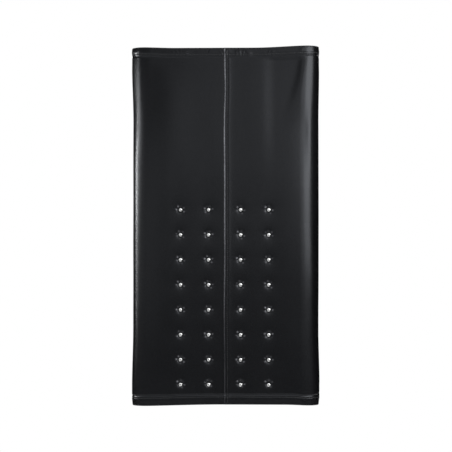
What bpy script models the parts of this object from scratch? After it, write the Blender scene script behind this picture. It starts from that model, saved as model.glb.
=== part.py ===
"""Wall punch pad: an upholstered board that hangs flat on a wall, struck from the front.

A plywood board carries three layers of foam. Wadding wraps the stack, and a vinyl sleeve
of two panels, joined at the centre, is pulled round it and turned onto the back of the board.
Both ends of the sleeve are hemmed over webbing and stand proud of a recessed end panel.
A field of capped rivets clamps the lower half of the front to a tough sheet inside.

Metres, +Z up. The wall is the plane y = 0 and the front faces -Y. The origin is the centre of
the back. Depths are counted from the wall, so a depth d lies at y = -d.
"""

import math

import bmesh
import bpy
from mathutils import Matrix, Vector

# Overall sizes
WIDTH = 0.400
HEIGHT = 0.768
EDGE_RADIUS = 0.040  # long front edges
FIT = 0.0003  # gap between pieces that touch

# Layers, from the wall to the front
DUST_COVER_T = 0.0010
VINYL_T = 0.0012
BOARD_T = 0.0150
BASE_FOAM_T = 0.0250
CORE_FOAM_T = 0.0400
FACE_FOAM_T = 0.0215
WADDING_T = 0.0030

# Sleeve
FLAP = 0.045  # width turned onto the back
HEM = 0.022  # height of the hem that stands past the end panel
HEM_ROOM = 0.0012  # vinyl folded over the webbing's edge
WEBBING_T = 0.0015
END_PANEL_T = 0.0015
SEAM_TAPE_WIDTH = 0.024
SEAM_TAPE_T = 0.0008

# Rivet field
ROWS = 8
ROW_PITCH = 0.0532
BOTTOM_ROW_UP = 0.0220  # above the lower end of the foam
INNER_COLUMN = 0.0340
OUTER_COLUMN = 0.0940
SHEET_T = 0.0030
SHEET_SIDE_MARGIN = 0.0300
SHEET_END_MARGIN = 0.0180
CAP_R = 0.0040
CAP_DOME = 0.0022
CLINCH_R = 0.0040
CLINCH_T = 0.0015
POST_R = 0.0015
DIMPLE_R = 0.0090
SEAT_ROOM = 0.0006  # flat ring round the cap at the bottom of a dimple
CLINCH_ROOM = 0.0010  # free foam round and behind a clinch

# Hanger plates
PLATE_WIDTH = 0.022
PLATE_HEIGHT = 0.064
PLATE_T = 0.0020
PLATE_SIDE_INSET = 0.0750  # centre of a plate, from the edge of the board
PLATE_END_INSET = 0.0900
KEYHOLE_R = 0.0060
SLOT_WIDTH = 0.0060
SLOT_RISE = 0.0140  # from the centre of the round hole to the top of the slot
KEYHOLE_DROP = 0.0050  # round hole, below the plate's centre
POCKET_WIDTH = 0.0170
POCKET_HEIGHT = 0.0340
POCKET_DEPTH = 0.0080
SCREW_SPACING = 0.0500
SCREW_R = 0.0015
SCREW_HEAD_R = 0.0034
SCREW_LENGTH = 0.0120
DUST_COVER_LAP = 0.020  # over the flaps
DUST_COVER_END_INSET = 0.018
WINDOW_MARGIN = 0.0040  # dust cover cut back round a plate

EDGE_STEPS = 8
BACK_STEPS = 3
ROUND_STEPS = 10

# Depths of the layers, each one FIT in front of the last
FLAP_BACK = DUST_COVER_T + FIT
BACK_RADIUS = VINYL_T + FIT  # outside of the sleeve, where it turns onto the back
BOARD_BACK = FLAP_BACK + VINYL_T + FIT
BOARD_FRONT = BOARD_BACK + BOARD_T
BASE_BACK = BOARD_FRONT + FIT
BASE_FRONT = BASE_BACK + BASE_FOAM_T
CORE_BACK = BASE_FRONT + FIT
CORE_FRONT = CORE_BACK + CORE_FOAM_T
FACE_BACK = CORE_FRONT + FIT
FACE_FRONT = FACE_BACK + FACE_FOAM_T
DEPTH = FACE_FRONT + FIT + WADDING_T + FIT + VINYL_T

# How far each wrapped layer lies inside the outer surface
INSIDE_VINYL = VINYL_T + FIT
INSIDE_WADDING = INSIDE_VINYL + WADDING_T
STACK = INSIDE_WADDING + FIT

HALF_WIDTH = WIDTH / 2
HALF_HEIGHT = HEIGHT / 2
PANEL_OUTER_Z = HALF_HEIGHT - HEM - FIT
PANEL_INNER_Z = PANEL_OUTER_Z - END_PANEL_T
STACK_Z = PANEL_INNER_Z - FIT

SHEET_FRONT = FACE_FRONT
SHEET_BACK = SHEET_FRONT - SHEET_T
DIMPLE_DEPTH = STACK - FIT - VINYL_T
SEAT_R = CAP_R + SEAT_ROOM
POST_HOLE_R = POST_R + FIT
SHEET_HALF_WIDTH = OUTER_COLUMN + SHEET_SIDE_MARGIN
ROW_Z = [-STACK_Z + BOTTOM_ROW_UP + ROW_PITCH * (ROWS - 1 - row) for row in range(ROWS)]
COLUMN_X = [-OUTER_COLUMN, -INNER_COLUMN, INNER_COLUMN, OUTER_COLUMN]

PLATE_X = HALF_WIDTH - STACK - PLATE_SIDE_INSET
PLATE_Z = STACK_Z - PLATE_END_INSET
PLATE_CENTRES = {
    "top_left": (-PLATE_X, PLATE_Z),
    "top_right": (PLATE_X, PLATE_Z),
    "bottom_left": (-PLATE_X, -PLATE_Z),
    "bottom_right": (PLATE_X, -PLATE_Z),
}

FACING_FRONT = Matrix.Rotation(math.radians(90), 4, "X")
FACING_BACK = Matrix.Rotation(math.radians(-90), 4, "X")

FINISHES = {
    "black_vinyl": ((0.012, 0.012, 0.014), 0.35, 0.0),
    "black_webbing": ((0.02, 0.02, 0.022), 0.85, 0.0),
    "white_wadding": ((0.75, 0.75, 0.72), 0.95, 0.0),
    "face_foam": ((0.30, 0.31, 0.33), 0.95, 0.0),
    "core_foam": ((0.42, 0.36, 0.40), 0.95, 0.0),
    "base_foam": ((0.10, 0.10, 0.11), 0.9, 0.0),
    "plywood": ((0.55, 0.38, 0.22), 0.7, 0.0),
    "rubber_sheet": ((0.03, 0.03, 0.03), 0.8, 0.0),
    "black_dust_cloth": ((0.03, 0.03, 0.032), 0.95, 0.0),
    "zinc_steel": ((0.62, 0.62, 0.60), 0.4, 1.0),
    "nickel": ((0.80, 0.80, 0.78), 0.18, 1.0),
}


def clear_scene():
    for obj in list(bpy.data.objects):
        bpy.data.objects.remove(obj, do_unlink=True)


def finish(name):
    material = bpy.data.materials.get(name)
    if material:
        return material
    colour, roughness, metallic = FINISHES[name]
    material = bpy.data.materials.new(name)
    material.use_nodes = True
    shader = material.node_tree.nodes["Principled BSDF"]
    shader.inputs["Base Color"].default_value = (*colour, 1)
    shader.inputs["Roughness"].default_value = roughness
    shader.inputs["Metallic"].default_value = metallic
    return material


def new_object(name, bm, finish_name=None, smooth=False):
    bmesh.ops.recalc_face_normals(bm, faces=bm.faces)
    mesh = bpy.data.meshes.new(name)
    bm.to_mesh(mesh)
    bm.free()
    if smooth:
        mesh.shade_smooth()
        mesh.set_sharp_from_angle(angle=math.radians(35))
    obj = bpy.data.objects.new(name, mesh)
    bpy.context.scene.collection.objects.link(obj)
    if finish_name:
        mesh.materials.append(finish(finish_name))
    return obj


def prism(name, outline, low_z, high_z, finish_name=None, smooth=False):
    """Extrudes a closed outline of (x, depth) points from low_z up to high_z."""
    bm = bmesh.new()
    ring = [bm.verts.new((x, -depth, low_z)) for x, depth in outline]
    face = bm.faces.new(ring)
    raised = bmesh.ops.extrude_face_region(bm, geom=[face])["geom"]
    corners = [item for item in raised if isinstance(item, bmesh.types.BMVert)]
    bmesh.ops.translate(bm, vec=(0, 0, high_z - low_z), verts=corners)
    return new_object(name, bm, finish_name, smooth)


def box_outline(low_x, high_x, low_depth, high_depth):
    return [
        (low_x, low_depth),
        (high_x, low_depth),
        (high_x, high_depth),
        (low_x, high_depth),
    ]


def helper(obj):
    obj.hide_render = True
    obj.display_type = "WIRE"
    return obj


def box_cutter(name, boxes):
    """One helper made of boxes, each ((x, x), (depth, depth), (z, z))."""
    bm = bmesh.new()
    for (x0, x1), (d0, d1), (z0, z1) in boxes:
        size = Vector((x1 - x0, d1 - d0, z1 - z0))
        centre = Vector(((x0 + x1) / 2, -(d0 + d1) / 2, (z0 + z1) / 2))
        place = Matrix.Translation(centre) @ Matrix.Diagonal((*size, 1))
        bmesh.ops.create_cube(bm, size=1, matrix=place)
    return helper(new_object(name, bm))


def cone_cutter(name, points, back, back_r, front, front_r, steps=ROUND_STEPS):
    """One helper made of a cone at each (x, z), from depth back to depth front."""
    bm = bmesh.new()
    for x, z in points:
        place = Matrix.Translation((x, -(back + front) / 2, z)) @ FACING_FRONT
        bmesh.ops.create_cone(
            bm,
            cap_ends=True,
            segments=steps,
            radius1=back_r,
            radius2=front_r,
            depth=front - back,
            matrix=place,
        )
    return helper(new_object(name, bm))


def boolean(obj, other, operation="DIFFERENCE"):
    modifier = obj.modifiers.new(f"{operation.lower()} {other.name}", "BOOLEAN")
    modifier.operation = operation
    modifier.solver = "EXACT"
    modifier.object = other


def edge_points(inset):
    """The long front edge on the right, front to side, for a layer this far inside."""
    radius = EDGE_RADIUS - inset
    centre_x, centre_depth = HALF_WIDTH - EDGE_RADIUS, DEPTH - EDGE_RADIUS
    turn = [math.radians(90 - 90 * step / EDGE_STEPS) for step in range(EDGE_STEPS + 1)]
    return [
        (centre_x + radius * math.cos(a), centre_depth + radius * math.sin(a)) for a in turn
    ]


def back_points(inset):
    """Where the sleeve turns onto the back on the right, side to back."""
    radius = BACK_RADIUS - inset
    centre_x, centre_depth = HALF_WIDTH - BACK_RADIUS, FLAP_BACK + BACK_RADIUS
    turn = [math.radians(-90 * step / BACK_STEPS) for step in range(BACK_STEPS + 1)]
    return [
        (centre_x + radius * math.cos(a), centre_depth + radius * math.sin(a)) for a in turn
    ]


def mirrored(points):
    return [(-x, depth) for x, depth in reversed(points)]


def slab_outline(inset, back, front):
    """A layer of the stack, rounded where it reaches the long front edges."""
    radius = EDGE_RADIUS - inset
    centre_x, centre_depth = HALF_WIDTH - EDGE_RADIUS, DEPTH - EDGE_RADIUS

    def half_width(depth):
        rise = max(0.0, depth - centre_depth)
        return centre_x + math.sqrt(max(0.0, radius**2 - rise**2))

    arc = [depth for _, depth in edge_points(inset) if back < depth < front]
    depths = [front, *arc, back]
    right = [(half_width(depth), depth) for depth in depths]
    return right + mirrored(right)


# Each rivet is at (x, z) on the front
RIVETS = {
    f"rivet_r{row + 1}_c{column + 1}": (x, z)
    for row, z in enumerate(ROW_Z)
    for column, x in enumerate(COLUMN_X)
}


def make_board():
    board = prism(
        "back_board", slab_outline(STACK, BOARD_BACK, BOARD_FRONT), -STACK_Z, STACK_Z, "plywood"
    )
    recess_x = PLATE_WIDTH / 2 + FIT
    recess_z = PLATE_HEIGHT / 2 + FIT
    outside = BOARD_BACK - BOARD_T
    plate_floor = BOARD_BACK + PLATE_T + FIT
    pocket_z = (SLOT_RISE - KEYHOLE_R) / 2 - KEYHOLE_DROP
    recesses = [
        ((x - recess_x, x + recess_x), (outside, plate_floor), (z - recess_z, z + recess_z))
        for x, z in PLATE_CENTRES.values()
    ]
    pockets = [
        (
            (x - POCKET_WIDTH / 2, x + POCKET_WIDTH / 2),
            (BOARD_BACK + PLATE_T / 2, plate_floor + POCKET_DEPTH),
            (z + pocket_z - POCKET_HEIGHT / 2, z + pocket_z + POCKET_HEIGHT / 2),
        )
        for x, z in PLATE_CENTRES.values()
    ]
    boolean(board, box_cutter("plate_recesses", recesses))
    boolean(board, box_cutter("keyhole_pockets", pockets))
    pilot_end = BOARD_BACK + SCREW_LENGTH + FIT
    pilots = cone_cutter(
        "pilot_holes",
        screw_points(),
        BOARD_BACK,
        SCREW_R + FIT,
        pilot_end,
        SCREW_R + FIT,
        steps=8,
    )
    boolean(board, pilots)


def make_foam():
    slabs = {
        "foam_base": (BASE_BACK, BASE_FRONT, "base_foam"),
        "foam_core": (CORE_BACK, CORE_FRONT, "core_foam"),
        "foam_face": (FACE_BACK, FACE_FRONT, "face_foam"),
    }
    for name, (back, front, finish_name) in slabs.items():
        prism(name, slab_outline(STACK, back, front), -STACK_Z, STACK_Z, finish_name)
    face = bpy.data.objects["foam_face"]
    low_z, high_z = sheet_ends()
    side = SHEET_HALF_WIDTH + FIT
    recess = (
        (-side, side),
        (SHEET_BACK - FIT, FACE_FRONT + SHEET_T),
        (low_z - FIT, high_z + FIT),
    )
    boolean(face, box_cutter("sheet_recess", [recess]))
    room = CLINCH_R + CLINCH_ROOM
    pockets = cone_cutter(
        "clinch_pockets",
        RIVETS.values(),
        SHEET_BACK - FIT - CLINCH_T - CLINCH_ROOM,
        room,
        SHEET_FRONT,
        room,
        steps=8,
    )
    boolean(face, pockets)


def sheet_ends():
    return min(ROW_Z) - SHEET_END_MARGIN, max(ROW_Z) + SHEET_END_MARGIN


def make_sheet():
    low_z, high_z = sheet_ends()
    outline = box_outline(-SHEET_HALF_WIDTH, SHEET_HALF_WIDTH, SHEET_BACK, SHEET_FRONT)
    sheet = prism("impact_sheet", outline, low_z, high_z, "rubber_sheet")
    holes = cone_cutter(
        "sheet_holes",
        RIVETS.values(),
        SHEET_BACK - SHEET_T,
        POST_HOLE_R,
        SHEET_FRONT + SHEET_T,
        POST_HOLE_R,
        steps=8,
    )
    boolean(sheet, holes)


def make_wadding():
    front = DEPTH - INSIDE_VINYL
    groove_x = SEAM_TAPE_WIDTH / 2 + FIT
    groove = [(groove_x, front - SEAM_TAPE_T - FIT), (groove_x, front)]
    outer = edge_points(INSIDE_VINYL) + [(HALF_WIDTH - INSIDE_VINYL, BOARD_BACK)]
    inner = edge_points(INSIDE_WADDING) + [(HALF_WIDTH - INSIDE_WADDING, BOARD_BACK)]
    outline = groove + outer + inner[::-1] + mirrored(inner[::-1]) + mirrored(groove + outer)
    wadding = prism("wadding", outline, -STACK_Z, STACK_Z, "white_wadding", smooth=True)
    holes = cone_cutter(
        "wadding_holes",
        RIVETS.values(),
        DEPTH - STACK - WADDING_T,
        DIMPLE_R + FIT,
        DEPTH,
        DIMPLE_R + FIT,
    )
    boolean(wadding, holes)


def flap_trims(side):
    """The corners of a panel are cut away, so that no flap hangs free past the board."""
    across = sorted((side * (HALF_WIDTH - FLAP - VINYL_T), side * (HALF_WIDTH - BACK_RADIUS)))
    depths = (0, BOARD_BACK - FIT / 2)
    past = HALF_HEIGHT + VINYL_T
    return [(across, depths, (PANEL_INNER_Z, past)), (across, depths, (-past, -PANEL_INNER_Z))]


def make_cover_half(name, side):
    """One panel of the sleeve: front, long edge, side and flap. side is 1 for the right half."""
    flap_x = HALF_WIDTH - FLAP
    outer = [(FIT / 2, DEPTH), *edge_points(0), *back_points(0), (flap_x, FLAP_BACK)]
    inner = [
        (FIT / 2, DEPTH - VINYL_T),
        *edge_points(VINYL_T),
        *back_points(VINYL_T),
        (flap_x, FLAP_BACK + VINYL_T),
    ]
    outline = [(side * x, depth) for x, depth in outer + inner[::-1]]
    cover = prism(name, outline, -HALF_HEIGHT, HALF_HEIGHT, "black_vinyl", smooth=True)
    here = [(x, z) for x, z in RIVETS.values() if x * side > 0]
    seat = DEPTH - DIMPLE_DEPTH
    cups = cone_cutter(
        f"{name}_cups", here, seat - VINYL_T, SEAT_R + VINYL_T / 2, DEPTH - VINYL_T / 2, DIMPLE_R
    )
    slope = (DIMPLE_R - SEAT_R) / DIMPLE_DEPTH
    past = DEPTH + VINYL_T
    pits = cone_cutter(f"{name}_pits", here, seat, SEAT_R, past, SEAT_R + slope * (past - seat))
    holes = cone_cutter(
        f"{name}_holes", here, seat - 2 * VINYL_T, POST_HOLE_R, DEPTH, POST_HOLE_R, steps=8
    )
    trims = box_cutter(f"{name}_flap_trims", flap_trims(side))
    boolean(cover, cups, "UNION")
    boolean(cover, pits)
    boolean(cover, holes)
    boolean(cover, trims)


def make_seam_tape():
    front = DEPTH - INSIDE_VINYL
    outline = box_outline(-SEAM_TAPE_WIDTH / 2, SEAM_TAPE_WIDTH / 2, front - SEAM_TAPE_T, front)
    prism("centre_seam_tape", outline, -STACK_Z, STACK_Z, "black_webbing")


def make_hem_webbing(name, end):
    """Webbing folded into the hem, round the front and sides. end is 1 at the top."""
    back = BOARD_BACK
    outer = edge_points(INSIDE_VINYL) + [(HALF_WIDTH - INSIDE_VINYL, back)]
    inside = INSIDE_VINYL + WEBBING_T
    inner = edge_points(inside) + [(HALF_WIDTH - inside, back)]
    outline = outer + inner[::-1] + mirrored(inner[::-1]) + mirrored(outer)
    low, high = sorted((end * (HALF_HEIGHT - HEM), end * (HALF_HEIGHT - HEM_ROOM)))
    prism(name, outline, low, high, "black_webbing", smooth=True)


def make_end_panel(name, end):
    low, high = sorted((end * PANEL_INNER_Z, end * PANEL_OUTER_Z))
    outline = slab_outline(INSIDE_VINYL, BOARD_BACK, DEPTH - INSIDE_VINYL)
    prism(name, outline, low, high, "black_vinyl", smooth=True)


def make_dust_cover():
    side = HALF_WIDTH - FLAP + DUST_COVER_LAP
    end = STACK_Z - DUST_COVER_END_INSET
    cover = prism(
        "dust_cover", box_outline(-side, side, 0, DUST_COVER_T), -end, end, "black_dust_cloth"
    )
    half_x = PLATE_WIDTH / 2 + WINDOW_MARGIN
    half_z = PLATE_HEIGHT / 2 + WINDOW_MARGIN
    windows = [
        (
            (x - half_x, x + half_x),
            (-DUST_COVER_T, 2 * DUST_COVER_T),
            (z - half_z, z + half_z),
        )
        for x, z in PLATE_CENTRES.values()
    ]
    boolean(cover, box_cutter("hanger_windows", windows))


def make_rivet_mesh():
    """A cap, its post and the clinched cap behind. The local origin is the seat, +Z the front."""
    grip = VINYL_T + SHEET_T + 3 * FIT
    profile = [
        (0, CAP_DOME),
        (0.62 * CAP_R, 0.80 * CAP_DOME),
        (CAP_R, 0.15 * CAP_DOME),
        (CAP_R, 0),
        (POST_R, 0),
        (POST_R, -grip),
        (CLINCH_R, -grip),
        (0.75 * CLINCH_R, -grip - CLINCH_T),
        (0, -grip - CLINCH_T),
    ]
    return turned("rivet", profile, "nickel")


def turned(name, profile, finish_name, steps=ROUND_STEPS):
    """A mesh turned about local Z from (radius, height) points, top to bottom."""
    bm = bmesh.new()
    points = [bm.verts.new((radius, 0, height)) for radius, height in profile]
    edges = [bm.edges.new(pair) for pair in zip(points, points[1:])]
    bmesh.ops.spin(
        bm,
        geom=points + edges,
        cent=(0, 0, 0),
        axis=(0, 0, 1),
        angle=math.tau,
        steps=steps,
        use_merge=True,
    )
    bmesh.ops.remove_doubles(bm, verts=bm.verts, dist=1e-6)
    bmesh.ops.recalc_face_normals(bm, faces=bm.faces)
    mesh = bpy.data.meshes.new(name)
    bm.to_mesh(mesh)
    bm.free()
    mesh.materials.append(finish(finish_name))
    mesh.shade_smooth()
    mesh.set_sharp_from_angle(angle=math.radians(35))
    return mesh


def place_mesh(name, mesh, matrix):
    obj = bpy.data.objects.new(name, mesh)
    bpy.context.scene.collection.objects.link(obj)
    obj.matrix_world = matrix
    return obj


def make_rivets():
    mesh = make_rivet_mesh()
    seat_y = -(DEPTH - DIMPLE_DEPTH + FIT)
    for name, (x, z) in RIVETS.items():
        place_mesh(name, mesh, Matrix.Translation((x, seat_y, z)) @ FACING_FRONT)


def screw_points():
    return [
        (x, z + up)
        for x, z in PLATE_CENTRES.values()
        for up in (SCREW_SPACING / 2, -SCREW_SPACING / 2)
    ]


def make_hangers():
    """Keyhole plates let into the back of the board, each held by two countersunk screws."""
    for place, (x, z) in PLATE_CENTRES.items():
        half = PLATE_WIDTH / 2
        plate = prism(
            f"hanger_{place}",
            box_outline(x - half, x + half, BOARD_BACK, BOARD_BACK + PLATE_T),
            z - PLATE_HEIGHT / 2,
            z + PLATE_HEIGHT / 2,
            "zinc_steel",
        )
        hole_z = z - KEYHOLE_DROP
        through = (BOARD_BACK - PLATE_T, BOARD_BACK + 2 * PLATE_T)
        round_hole = cone_cutter(
            f"{place}_keyhole", [(x, hole_z)], through[0], KEYHOLE_R, through[1], KEYHOLE_R, steps=16
        )
        slot = box_cutter(
            f"{place}_slot",
            [((x - SLOT_WIDTH / 2, x + SLOT_WIDTH / 2), through, (hole_z, hole_z + SLOT_RISE))],
        )
        boolean(plate, round_hole)
        boolean(plate, slot)
        screws = [(x, z + SCREW_SPACING / 2), (x, z - SCREW_SPACING / 2)]
        sink = cone_cutter(
            f"{place}_countersinks",
            screws,
            BOARD_BACK - PLATE_T,
            SCREW_HEAD_R + FIT + PLATE_T,
            BOARD_BACK + SCREW_HEAD_R - SCREW_R,
            SCREW_R + FIT,
        )
        bore = cone_cutter(
            f"{place}_screw_holes",
            screws,
            BOARD_BACK - PLATE_T,
            SCREW_R + FIT,
            BOARD_BACK + 2 * PLATE_T,
            SCREW_R + FIT,
        )
        boolean(plate, sink)
        boolean(plate, bore)


def make_screws():
    head = SCREW_HEAD_R - SCREW_R
    profile = [
        (0, 0),
        (SCREW_HEAD_R, 0),
        (SCREW_R, -head),
        (SCREW_R, -0.8 * SCREW_LENGTH),
        (0, -SCREW_LENGTH),
    ]
    mesh = turned("screw", profile, "zinc_steel")
    for place, (x, z) in PLATE_CENTRES.items():
        for end, up in (("upper", SCREW_SPACING / 2), ("lower", -SCREW_SPACING / 2)):
            seat = Matrix.Translation((x, -BOARD_BACK, z + up)) @ FACING_BACK
            place_mesh(f"screw_{place}_{end}", mesh, seat)


def main():
    clear_scene()
    make_board()
    make_foam()
    make_sheet()
    make_wadding()
    make_cover_half("cover_left", -1)
    make_cover_half("cover_right", 1)
    make_seam_tape()
    make_hem_webbing("top_hem_webbing", 1)
    make_hem_webbing("bottom_hem_webbing", -1)
    make_end_panel("top_end_panel", 1)
    make_end_panel("bottom_end_panel", -1)
    make_dust_cover()
    make_rivets()
    make_hangers()
    make_screws()


main()
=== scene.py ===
"""Looks of the wall punch pad: sewn vinyl sleeve, hems, rivets, back and hangers.

Metres, +Z up, front towards -Y, wall at y = 0. A depth d is counted from the wall, at y = -d.
"""

import math

import bmesh
import bpy
import numpy as np
from mathutils import Matrix, Vector


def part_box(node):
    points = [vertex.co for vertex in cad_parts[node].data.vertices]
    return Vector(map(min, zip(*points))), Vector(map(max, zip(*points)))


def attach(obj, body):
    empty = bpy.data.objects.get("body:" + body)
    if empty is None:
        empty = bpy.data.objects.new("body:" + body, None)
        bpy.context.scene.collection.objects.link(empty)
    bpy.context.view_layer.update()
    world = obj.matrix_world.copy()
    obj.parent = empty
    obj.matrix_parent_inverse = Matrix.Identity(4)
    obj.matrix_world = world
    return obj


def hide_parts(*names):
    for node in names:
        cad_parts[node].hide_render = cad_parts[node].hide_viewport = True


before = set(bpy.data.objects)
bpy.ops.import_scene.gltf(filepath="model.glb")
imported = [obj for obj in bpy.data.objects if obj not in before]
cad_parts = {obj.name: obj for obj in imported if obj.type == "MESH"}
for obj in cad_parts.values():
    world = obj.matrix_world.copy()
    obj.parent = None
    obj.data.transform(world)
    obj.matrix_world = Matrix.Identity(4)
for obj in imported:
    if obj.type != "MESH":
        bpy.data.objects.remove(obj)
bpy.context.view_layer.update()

# Frame sizes
COVER_LOW, COVER_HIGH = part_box("cover_right")
HALF_WIDTH = COVER_HIGH[0]
HALF_HEIGHT = COVER_HIGH[2]
DEPTH = -COVER_LOW[1]
FLAP_DEPTH = -COVER_HIGH[1]
FLAP_X = 0.155
BOARD_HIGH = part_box("back_board")[1]
STACK_Z = BOARD_HIGH[2]
BOARD_DEPTH = -BOARD_HIGH[1]
RIVET_NODES = sorted(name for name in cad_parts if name.startswith("rivet_"))
HANGER_NODES = sorted(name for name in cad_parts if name.startswith("hanger_"))
SCREW_NODES = sorted(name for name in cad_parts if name.startswith("screw_"))


def middle(node):
    low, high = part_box(node)
    return [(a + b) / 2 for a, b in zip(low, high)]


RIVETS = {name: (middle(name)[0], middle(name)[2]) for name in RIVET_NODES}
RIVET_TOP = -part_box(RIVET_NODES[0])[0][1]  # depth of the crown of a cap
CAP_DOME = 0.0022
CAP_R = (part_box(RIVET_NODES[0])[1][0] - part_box(RIVET_NODES[0])[0][0]) / 2
SEAT_DEPTH = RIVET_TOP - CAP_DOME
SEAT_R = CAP_R + 0.0004  # how far out the vinyl lies at the depth VINYL_SEAT
VINYL_SEAT = SEAT_DEPTH - 0.0002

# Sleeve
EDGE_RADIUS = 0.040
BACK_RADIUS = 0.0015
VINYL = 0.0012
HEM_THICK = 0.0046  # vinyl, webbing and vinyl
SEAM_LAP = 0.0085  # right panel laid over the left one
SEAM_RISE = 0.0013
SEAM_STITCH = 0.0064
# From the end of the sleeve: the stitching, and the crease where the padded front begins
HEM_ROW = {1: 0.0146, -1: 0.0165}
HEM_CREASE = {1: 0.0186, -1: 0.0214}
HEM_ROLL = 0.0085  # the fullest line of the top hem
STITCH_PITCH, STITCH_LENGTH, STITCH_THICK = 0.0043, 0.0034, 0.00075
WEBBING_THICK, WADDING_THICK, CLOTH_THICK = 0.0012, 0.0011, 0.0003
WADDING_INSET = 0.0016  # how far inside the face of the vinyl
TINY = 1e-6
RANDOM = np.random.default_rng(11)


# ---------------------------------------------------------------- small tools


def start(obj=None):
    """Object mode with nothing selected, or with this piece alone."""
    if bpy.context.object and bpy.context.object.mode != "OBJECT":
        bpy.ops.object.mode_set(mode="OBJECT")
    bpy.ops.object.select_all(action="DESELECT")
    if obj:
        obj.select_set(True)
        bpy.context.view_layer.objects.active = obj


def named(name):
    obj = bpy.context.object
    obj.name = name
    obj.data.name = name
    return obj


def rest_at_origin(obj):
    """Moves the place of a piece into its mesh."""
    start(obj)
    bpy.ops.object.transform_apply(location=True, rotation=True, scale=True)
    return obj


def apply_modifiers(obj):
    start(obj)
    for modifier in list(obj.modifiers):
        bpy.ops.object.modifier_apply(modifier=modifier.name)
    return obj


def smooth(obj, angle=None):
    start(obj)
    if angle is None:
        bpy.ops.object.shade_smooth()
    else:
        bpy.ops.object.shade_smooth_by_angle(angle=math.radians(angle))
    return obj


def choose(obj, kind, test):
    """Edit mode, with only the vertices, edges or faces picked that pass the test."""
    start(obj)
    bpy.ops.object.mode_set(mode="EDIT")
    bpy.ops.mesh.select_mode(type=kind)
    bpy.ops.mesh.select_all(action="DESELECT")
    edit = bmesh.from_edit_mesh(obj.data)
    for part in {"VERT": edit.verts, "EDGE": edit.edges, "FACE": edit.faces}[kind]:
        part.select = bool(test(part))
    bmesh.update_edit_mesh(obj.data)


def from_mesh(name, mesh):
    obj = bpy.data.objects.new(name, mesh)
    bpy.context.scene.collection.objects.link(obj)
    return obj


def joined(name, verts, faces):
    mesh = bpy.data.meshes.new(name)
    mesh.from_pydata(verts, [], faces)
    return from_mesh(name, mesh)


def copied(obj, name, place):
    """A copy with its own mesh, moved by the matrix place."""
    twin = from_mesh(name, obj.data.copy())
    twin.data.name = name
    twin.data.transform(place)
    return twin


def dress(obj, material, slot_name, *replaced):
    obj.data.materials.clear()
    obj.data.materials.append(material)
    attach(obj, "root")
    if replaced:
        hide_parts(*replaced)
    return obj


def discard(obj):
    mesh = obj.data
    bpy.data.objects.remove(obj, do_unlink=True)
    bpy.data.meshes.remove(mesh)


def ease(value, low, high):
    """0 below low, 1 above high, smooth between."""
    t = np.clip((value - low) / (high - low), 0.0, 1.0)
    return t * t * (3 - 2 * t)


def hill(value, centre, width):
    return np.exp(-(((value - centre) / width) ** 2))


class Ripple:
    """Smooth repeatable unevenness along a line: a few sines with drawn phases."""

    def __init__(self, wavelengths):
        self.waves = [(length, RANDOM.uniform(0, math.tau)) for length in wavelengths]

    def __call__(self, value):
        total = sum(np.sin(math.tau * value / length + phase) for length, phase in self.waves)
        return total / len(self.waves)


# ---------------------------------------------------------------- node groups


def new_group(name, inputs, outputs):
    """A node group, the sockets of its inputs, and the sockets that its results go to."""
    group = bpy.data.node_groups.new(name, "ShaderNodeTree")
    for title, value in inputs.items():
        kind = "NodeSocketFloat" if isinstance(value, float) else "NodeSocketVector"
        socket = group.interface.new_socket(name=title, in_out="INPUT", socket_type=kind)
        socket.default_value = value
    for title in outputs:
        group.interface.new_socket(name=title, in_out="OUTPUT", socket_type="NodeSocketFloat")
    given = group.nodes.new("NodeGroupInput").outputs
    return group, given, group.nodes.new("NodeGroupOutput").inputs


def node(tree, kind, links=None, **settings):
    """A node with its settings, and its inputs from values or from other sockets."""
    made = tree.nodes.new(kind)
    for key, value in settings.items():
        setattr(made, key, value)
    for key, value in (links or {}).items():
        socket = made.inputs[key]
        if isinstance(value, bpy.types.NodeSocket):
            tree.links.new(value, socket)
        else:
            socket.default_value = value
    return made


def maths(tree, operation, first, second=0.0, clamp=False):
    made = node(tree, "ShaderNodeMath", {0: first, 1: second}, operation=operation, use_clamp=clamp)
    return made.outputs[0]


def times(tree, first, second):
    return maths(tree, "MULTIPLY", first, second)


def plus(tree, value, extra, share):
    """value + extra * share"""
    return maths(tree, "ADD", value, times(tree, extra, share))


def vector_maths(tree, operation, first, second):
    return node(tree, "ShaderNodeVectorMath", {0: first, 1: second}, operation=operation).outputs[0]


def spread(tree, value, low, high, to_low, to_high):
    ends = {"From Min": low, "From Max": high, "To Min": to_low, "To Max": to_high}
    return node(tree, "ShaderNodeMapRange", {"Value": value, **ends}).outputs["Result"]


def place_of(tree):
    return tree.nodes.new("ShaderNodeTexCoord").outputs["Object"]


def scaled(tree, vector, scale):
    return node(tree, "ShaderNodeMapping", {"Vector": vector, "Scale": scale}).outputs[0]


def noise(tree, vector, scale, detail=3.0, roughness=0.5, distortion=0.0):
    inputs = {"Vector": vector, "Scale": scale, "Detail": detail}
    inputs.update({"Roughness": roughness, "Distortion": distortion})
    return node(tree, "ShaderNodeTexNoise", inputs).outputs["Fac"]


def voronoi(tree, vector, scale, feature="F1", randomness=1.0):
    inputs = {"Vector": vector, "Scale": scale, "Randomness": randomness}
    return node(tree, "ShaderNodeTexVoronoi", inputs, feature=feature).outputs


def wave(tree, vector, scale, distortion, direction, detail=1.0):
    inputs = {"Vector": vector, "Scale": scale, "Distortion": distortion, "Detail": detail}
    return node(tree, "ShaderNodeTexWave", inputs, bands_direction=direction).outputs["Fac"]


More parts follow.
